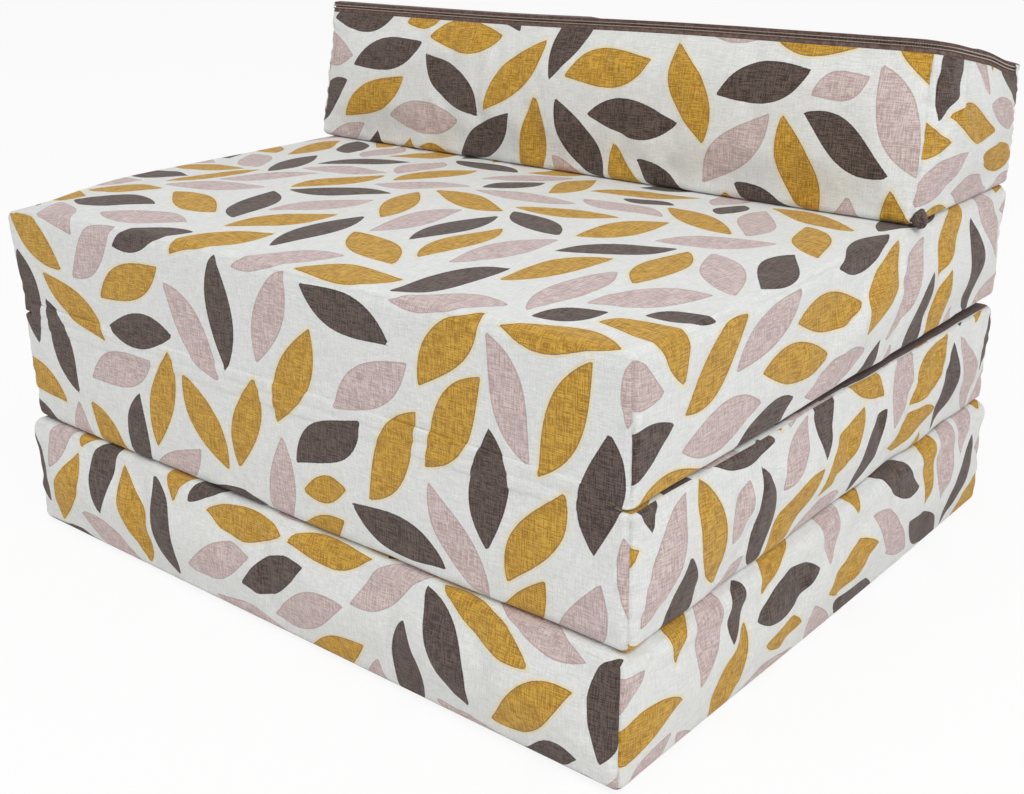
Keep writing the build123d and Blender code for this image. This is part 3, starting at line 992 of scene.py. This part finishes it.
class Nodes:
    """A node tree under construction."""

    def __init__(self, tree):
        self.tree = tree
        tree.nodes.clear()

    def node(self, kind, settings=None, inputs=None, output=0):
        made = self.tree.nodes.new(kind)
        for key, value in (settings or {}).items():
            setattr(made, key, value)
        for key, value in (inputs or {}).items():
            self.feed(made.inputs[key], value)
        return Signal(self, made.outputs[output]) if made.outputs else None

    def feed(self, socket, value):
        if isinstance(value, Signal):
            self.tree.links.new(value.socket, socket)
        elif hasattr(value, "__len__") and len(value) == 3 and socket.type == "RGBA":
            socket.default_value = (*value, 1.0)
        else:
            socket.default_value = value

    def mix(self, factor, a, b):
        """Colour a where factor is 0 and b where it is 1."""
        return self.node("ShaderNodeMix", {"data_type": "RGBA"}, {0: factor, 6: a, 7: b}, output=2)

    def noise(self, place, along, across, detail=2.0):
        """Flat noise on the cloth, whose spots have about the size given in millimetres."""
        scale = (1 / (along * MM), 1 / (across * MM), 1.0)
        scaled = self.node("ShaderNodeVectorMath", {"operation": "MULTIPLY"}, {0: place, 1: scale})
        return self.node("ShaderNodeTexNoise", {"noise_dimensions": "2D"},
                         {"Vector": scaled, "Scale": 1.0, "Detail": detail})

    def threads(self, place, length, thickness):
        """Slubs along both threads of the cloth, from 0 to 1."""
        return self.noise(place, length, thickness), self.noise(place, thickness, length)

    def weave(self, place, pitch):
        """A plain weave: two crossed sets of ribs."""
        u, v, _ = self.parts_of(place)
        k = 2 * math.pi / (pitch * MM)
        return (u * k).sine() * 0.5 + (v * k).sine() * 0.5

    def grain(self, scale, detail=2.0):
        """Noise all through a piece."""
        return self.node("ShaderNodeTexNoise", {},
                         {"Vector": self.object_place(), "Scale": scale, "Detail": detail})

    def parts_of(self, vector):
        split = self.node("ShaderNodeSeparateXYZ", {}, {0: vector})
        return [split.other(i) for i in range(3)]

    def object_place(self):
        return self.node("ShaderNodeTexCoord", output="Object")

    def cloth_place(self):
        return self.node("ShaderNodeUVMap", {"uv_map": "cloth"})

    def seen_white(self):
        """1 for rays from the camera, off a gloss or through glass, which meet a white surround."""
        ray = self.node("ShaderNodeLightPath", output="Is Camera Ray")
        seen = ray.math("MAXIMUM", ray.other("Is Glossy Ray"))
        return seen.math("MAXIMUM", ray.other("Is Transmission Ray"))


class Finish(Nodes):
    """A material under construction, on the principled shader."""

    def __init__(self, name):
        self.material = bpy.data.materials.new(name)
        self.material.use_nodes = True
        super().__init__(self.material.node_tree)
        self.shader = self.tree.nodes.new("ShaderNodeBsdfPrincipled")
        self.node("ShaderNodeOutputMaterial", {}, {"Surface": Signal(self, self.shader.outputs[0])})

    def bump(self, height, distance):
        self.set(Normal=self.node("ShaderNodeBump", {}, {"Height": height, "Distance": distance}))

    def set(self, **values):
        for key, value in values.items():
            self.feed(self.shader.inputs[key.replace("_", " ")], value)
        return self.material


def linear(r, g, b):
    """A colour given as it looks on a screen, 0 to 255, in the shader's own scale."""
    parts = [c / 255 for c in (r, g, b)]
    return tuple(c / 12.92 if c <= 0.04045 else ((c + 0.055) / 1.055) ** 2.4 for c in parts)


# ---- Finishes


def printed_cotton():
    """Cool white cotton with leaves in three inks, and slubs that show through the ink."""
    cotton = Finish("printed_cotton")
    place = cotton.cloth_place()
    distance = cotton.node("ShaderNodeAttribute", {"attribute_name": "ink_distance"}, output="Vector")
    long_a, long_b = cotton.threads(place, 16.0, 0.9)
    fine_a, fine_b = cotton.threads(place, 6.0, 0.5)
    blot = cotton.noise(place, 11, 11, detail=3.0)
    slub = (long_a + long_b - 1.0) * 1.5 + (fine_a + fine_b - 1.0) * 1.3
    tone = slub * 1.25 + (blot - 0.5) * 0.35
    ragged = (fine_a - 0.5) * 0.7
    gaps = [part + ragged for part in cotton.parts_of(distance)]
    ground = cotton.mix((tone * 0.6 + 0.5).steep(0.0, 1.0), linear(222, 224, 221), linear(241, 242, 239))
    # A pale yellow line runs round the mustard leaves
    halo = gaps[0].steep(0.4, 0.9) * (1 - gaps[0].steep(1.2, 2.4))
    colour = cotton.mix(halo * 0.75, ground, linear(243, 222, 150))
    for gap, tones in zip(gaps, INKS.values()):
        dark, pale, edge = (linear(*shade) for shade in tones)
        inside = 1 - gap.steep(-0.2, 0.35)
        rim = gap.steep(-1.3, -0.5) * 0.7
        body = cotton.mix((tone * 0.85 + 0.5).steep(0.0, 1.0), dark, pale)
        colour = cotton.mix(inside, colour, cotton.mix(rim, body, edge))
    cotton.bump(cotton.weave(place, 1.1) * 0.35 + slub * 0.5, 0.00035)
    return cotton.set(Base_Color=colour, Roughness=0.86 + (blot - 0.5) * 0.08, Specular_IOR_Level=0.25,
                      Sheen_Weight=0.15, Sheen_Roughness=0.5)


def brown_cloth():
    """Plain dark brown canvas."""
    cloth = Finish("brown_cloth")
    place = cloth.cloth_place()
    long_a, long_b = cloth.threads(place, 12.0, 0.9)
    blot = cloth.noise(place, 40, 40, detail=3.0)
    tone = (long_a + long_b - 1.0) * 1.2 + (blot - 0.5) * 0.6 + 0.5
    colour = cloth.mix(tone.steep(0.0, 1.0), linear(78, 60, 56), linear(122, 101, 95))
    cloth.bump(cloth.weave(place, 1.4) * 0.5 + (long_a + long_b) * 0.4, 0.0004)
    return cloth.set(Base_Color=colour, Roughness=0.9 + (blot - 0.5) * 0.08, Specular_IOR_Level=0.2,
                     Sheen_Weight=0.2, Sheen_Roughness=0.5)


def speckled(name, scale, dark, pale, height, roughness):
    """Thread or nylon with a fine speckle of two tones."""
    finish = Finish(name)
    tone = finish.grain(scale)
    finish.bump(tone, height)
    return finish.set(Base_Color=finish.mix(tone, dark, pale), Roughness=roughness + tone * 0.15)


def zip_tape():
    """Brown ribbed zip tape, a shade lighter than the cloth."""
    tape = Finish("zip_tape")
    x, y, z = tape.parts_of(tape.object_place())
    k = 2 * math.pi / 0.0012
    ribs = ((x + y) * k).sine() * 0.5 + (z * k * 1.5).sine() * 0.3
    tone = tape.grain(260.0) + ribs * 0.15
    colour = tape.mix(tone.steep(0.2, 0.9), linear(96, 76, 68), linear(142, 121, 112))
    tape.bump(ribs, 0.0002)
    return tape.set(Base_Color=colour, Roughness=0.85 + ribs * 0.04, Specular_IOR_Level=0.25)


def zip_metal():
    """Painted zinc sliders, rubbed lighter in places."""
    metal = Finish("zip_metal")
    tone = metal.grain(700.0, detail=4.0)
    wear = tone.steep(0.62, 0.72)
    colour = metal.mix(wear * 0.6, linear(84, 66, 58), linear(150, 132, 118))
    metal.bump(tone, 0.00003)
    return metal.set(Base_Color=colour, Metallic=wear * 0.7, Roughness=0.42 - wear * 0.12)


def foam():
    """Pale open-cell foam."""
    core = Finish("foam")
    cells = core.node("ShaderNodeTexVoronoi", {}, {"Vector": core.object_place(), "Scale": 700.0})
    colour = core.mix(core.grain(30.0), linear(232, 222, 190), linear(246, 240, 216))
    core.bump(cells, 0.0004)
    return core.set(Base_Color=colour, Roughness=0.95 - cells * 0.1)


def pale_floor():
    """A pale floor that reads white to the camera away from the shadow."""
    material = bpy.data.materials.new("pale_floor")
    material.use_nodes = True
    floor = Nodes(material.node_tree)
    colour = floor.mix(floor.grain(3.0), (0.93, 0.93, 0.93), (0.95, 0.95, 0.95))
    matt = floor.node("ShaderNodeBsdfDiffuse", {}, {"Color": colour})
    glow = floor.node("ShaderNodeEmission", {}, {"Color": WHITE, "Strength": 1.0})
    both = floor.node("ShaderNodeMixShader", {}, {0: floor.seen_white() * FLOOR_GLOW, 1: matt, 2: glow})
    floor.node("ShaderNodeOutputMaterial", {}, {"Surface": both})
    return material


# ---- Things in rows: zip teeth and stitches, by geometry nodes


def row_tree():
    """A node tree that sets small rounded beads along a path."""
    tree = bpy.data.node_groups.new("beads_along_path", "GeometryNodeTree")
    sockets = {"Geometry": "Geometry", "Spacing": "Float", "Along": "Float", "Across": "Float",
               "Out": "Float", "Finish": "Material"}
    for label, kind in sockets.items():
        tree.interface.new_socket(label, in_out="INPUT", socket_type=f"NodeSocket{kind}")
    tree.interface.new_socket("Geometry", in_out="OUTPUT", socket_type="NodeSocketGeometry")
    row = Nodes(tree)
    start = row.node("NodeGroupInput")
    curve = row.node("GeometryNodeMeshToCurve", {}, {0: start})
    curve = row.node("GeometryNodeSetCurveNormal", {"mode": "Z_UP"}, {"Curve": curve})
    points = row.node("GeometryNodeResampleCurve", {"mode": "LENGTH"},
                      {"Curve": curve, "Length": start.other("Spacing")})
    bead = row.node("GeometryNodeMeshIcoSphere", {}, {"Radius": 0.5, "Subdivisions": 1})
    size = row.node("ShaderNodeCombineXYZ", {},
                    {i: start.other(label) for i, label in enumerate(("Along", "Across", "Out"))})
    turn = row.node("FunctionNodeAlignRotationToVector", {"axis": "X"},
                    {"Vector": row.node("GeometryNodeInputTangent")})
    turn = row.node("FunctionNodeAlignRotationToVector", {"axis": "Z", "pivot_axis": "X"},
                    {"Rotation": turn, "Vector": row.node("GeometryNodeInputNormal")})
    beads = row.node("GeometryNodeInstanceOnPoints", {},
                     {"Points": points, "Instance": bead, "Rotation": turn, "Scale": size})
    real = row.node("GeometryNodeRealizeInstances", {}, {0: beads})
    real = row.node("GeometryNodeSetMaterial", {}, {"Geometry": real, "Material": start.other("Finish")})
    row.node("NodeGroupOutput", {}, {0: real})
    return tree


def bead_row(name, tree, path, spacing, size, material):
    """Beads of a size (along, across, out) set along a path, as one plain mesh."""
    mesh = bpy.data.meshes.new(name)
    points = [tuple(c * MM for c in p) for p in path]
    mesh.from_pydata(points, [(i, i + 1) for i in range(len(points) - 1)], [])
    carrier = placed(name, mesh)
    modifier = carrier.modifiers.new("beads", "NODES")
    modifier.node_group = tree
    wanted = {"Spacing": spacing * MM, "Along": size[0] * MM, "Across": size[1] * MM, "Out": size[2] * MM,
              "Finish": material}
    for item in tree.interface.items_tree:
        if item.in_out == "INPUT" and item.name in wanted:
            modifier[item.identifier] = wanted[item.name]
    result = bpy.data.meshes.new_from_object(carrier.evaluated_get(bpy.context.evaluated_depsgraph_get()))
    carrier.modifiers.clear()
    carrier.data = result
    carrier.data.name = name
    carrier.data.shade_smooth()
    return carrier


def wall_path(section, depth_in, out, short):
    """The line that a zip's part follows at a depth below the zipped face, stood out from the wall."""
    if section.name == "backrest":
        end = section.depth - BACKREST_ZIP_MARGIN - short
        side = np.append(np.arange(0, end, GRID), end)
        front = np.linspace(-HALF, HALF, 241)[1:-1]
        z = section.height - depth_in
        plain = [(-HALF, y, z) for y in side[::-1]]
        plain += [(x, 0, z) for x in front] + [(HALF, y, z) for y in side]
        points, normals = rounded(section, np.array(plain))
        return settle(section, points + normals * out)
    z = section.high_rear - depth_in if section.brown_on_top else section.low + depth_in
    reach = ZIP_REACH - short
    return [(-reach, REAR + out, z), (reach, REAR + out, z)]


# ---- Studio and camera


def studio():
    """Pale floor, soft lamps, and a white surround for the camera and for reflections."""
    scene = bpy.context.scene
    scene.view_settings.view_transform = "Standard"
    scene.world = bpy.data.worlds.new("surround")
    scene.world.use_nodes = True
    air = Nodes(scene.world.node_tree)
    plain, white = (air.node("ShaderNodeBackground", {}, {"Color": WHITE, "Strength": strength})
                    for strength in (SURROUND_LIGHT, 1.0))
    both = air.node("ShaderNodeMixShader", {}, {0: air.seen_white(), 1: plain, 2: white})
    air.node("ShaderNodeOutputWorld", {}, {"Surface": both})
    far = FLOOR_FAR
    mesh = bpy.data.meshes.new("floor")
    mesh.from_pydata([(-far, -far, 0), (far, -far, 0), (far, far, 0), (-far, far, 0)], [], [(0, 1, 2, 3)])
    mesh.materials.append(pale_floor())
    floor = placed("floor", mesh)
    floor.location.z = -FLOOR_DROP
    for name, (place, size, power) in LAMPS.items():
        lamp = bpy.data.lights.new(name, "AREA")
        lamp.shape = "RECTANGLE"
        lamp.size, lamp.size_y = size
        lamp.energy = power
        holder = placed(name, lamp)
        holder.location = place
        holder.rotation_euler = (LAMP_AIM - Vector(place)).to_track_quat("-Z", "Y").to_euler()


def camera():
    azimuth, elevation, roll = map(math.radians, CAMERA_ANGLES)
    ahead = Vector((-math.sin(azimuth) * math.cos(elevation), math.cos(azimuth) * math.cos(elevation),
                    -math.sin(elevation)))
    right = Vector((math.cos(azimuth), math.sin(azimuth), 0))
    up = right.cross(ahead)
    turned_right = right * math.cos(roll) + up * math.sin(roll)
    turned_up = up * math.cos(roll) - right * math.sin(roll)
    data = bpy.data.cameras.new("camera")
    data.sensor_width = SENSOR
    data.lens = FOCAL_LENGTH / IMAGE_WIDTH * SENSOR
    holder = placed("camera", data)
    rotation = Matrix((turned_right, turned_up, -ahead)).transposed().to_4x4()
    holder.matrix_world = Matrix.Translation(CAMERA_PLACE) @ rotation
    bpy.context.scene.camera = holder


# ---- Build


def fit(piece, body, slot, *nodes):
    """Puts a piece on its body, in place of the CAD nodes that it stands for. The slot is not used."""
    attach(piece, body)
    if nodes:
        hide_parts(*nodes)


def dress_nodes(finishes):
    """Gives every CAD node its finish."""
    slots = {part["node"]: part["material_slot"] for part in frame["record"]["subparts"]}
    for name, node in frame["nodes"].items():
        node.data.materials.clear()
        node.data.materials.append(finishes[slots[name]])


def dress_section(section, finishes, leaves, tree):
    """A section's foam, cover, brown underside and zip."""
    name, body = section.name, section.body
    settle_cloth(section, finishes["printed_cotton"])
    core = foam_block(section, finishes["foam"])
    fit(core, body, "foam", f"{name}_foam_core")
    skin = Skin(section, section_lines(section))
    cover = printed_cover(skin, finishes["printed_cotton"], leaves)
    fit(cover, body, "printed_cotton", f"{name}_cover")
    panel = underside(skin, finishes["brown_cloth"])
    fit(panel, body, "brown_cloth", f"{name}_underside_panel")
    rows = {"panel": RIM + TAPE + COIL_ROW / 2, "cover": RIM + TAPE + COIL_ROW * 1.5 + COIL_SLOT}
    for key, depth_in in rows.items():
        path = wall_path(section, depth_in, TOOTH_OUT, short=4)
        teeth = bead_row(f"{name}_zip_{key}_teeth", tree, path, TOOTH_PITCH, TOOTH, finishes["zip_coil"])
        fit(teeth, body, "zip_coil", f"{name}_zip_{key}_coil")
        if name == "backrest":
            tape = soft_tape(skin, key, finishes["zip_tape"])
            fit(tape, body, "zip_tape", f"{name}_zip_{key}_tape")
    for key, depth_in in {"panel": RIM + STITCH_EDGE, "cover": ZIP_DEPTH - STITCH_EDGE}.items():
        path = wall_path(section, depth_in, STITCH_OUT, short=2)
        stitches = bead_row(f"{name}_zip_{key}_stitches", tree, path, STITCH_PITCH, STITCH,
                            finishes["zip_tape"])
        fit(stitches, body, "zip_tape")


def dress_hinge(key, below, above, level, finishes, leaves, tree):
    """The cloth over the fold between two sections. Those at the rear are sewn down with pale thread."""
    name = f"{key}_hinge_cloth"
    at_front = key == "front"
    z_mid = level * HEIGHT + LAYER_GAP / 2
    strip = hinge_cloth(name, z_mid, at_front, finishes["printed_cotton"], leaves)
    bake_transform(strip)
    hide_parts(f"{key}_hinge_lower_strip", f"{key}_hinge_upper_strip")
    if at_front:
        return
    for side, owner, off in (("lower", below, -HINGE_STITCH), ("upper", above, HINGE_STITCH)):
        path = [(x, REAR + HINGE_STAND, z_mid + off) for x in (-HALF + 20, HALF - 20)]
        stitches = bead_row(f"{name}_{side}_stitches", tree, path, STITCH_PITCH, STITCH, finishes["thread"])
        fit(stitches, f"{owner}_section", "printed_cotton")


def main():
    camera()
    studio()
    finishes = {
        "foam": foam(),
        "printed_cotton": printed_cotton(),
        "brown_cloth": brown_cloth(),
        "zip_tape": zip_tape(),
        "zip_coil": speckled("zip_coil", 400.0, linear(158, 138, 128), linear(196, 178, 167), 0.00005, 0.38),
        "zip_metal": zip_metal(),
        "thread": speckled("thread", 900.0, linear(206, 204, 196), linear(236, 235, 229), 0.00004, 0.55),
    }
    dress_nodes(finishes)
    tree = row_tree()
    long_cloth = leaf_layout(PRINT_SIDES, -3 * HEIGHT - DEPTH - PRINT_SPARE,
                             DEPTH + HEIGHT + PRINT_SPARE, seed=11)
    layouts = {
        "base": leaf_layout(PRINT_SIDES, BASE_PRINT - HEIGHT - PRINT_SPARE,
                            BASE_PRINT + DEPTH + HEIGHT + PRINT_SPARE, seed=23),
        "middle": long_cloth,
        "seat": long_cloth,
        "backrest": leaf_layout(BACKREST_PRINT_SIDES, *(BACKREST_PRINT + v for v in BACKREST_PRINT_ENDS),
                                seed=37),
    }
    for section in make_sections():
        dress_section(section, finishes, layouts[section.name], tree)
    dress_hinge("rear", "base", "middle", 1, finishes, long_cloth, tree)
    dress_hinge("front", "middle", "seat", 2, finishes, long_cloth, tree)
    dress_hinge("backrest", "seat", "backrest", 3, finishes, long_cloth, tree)


main()
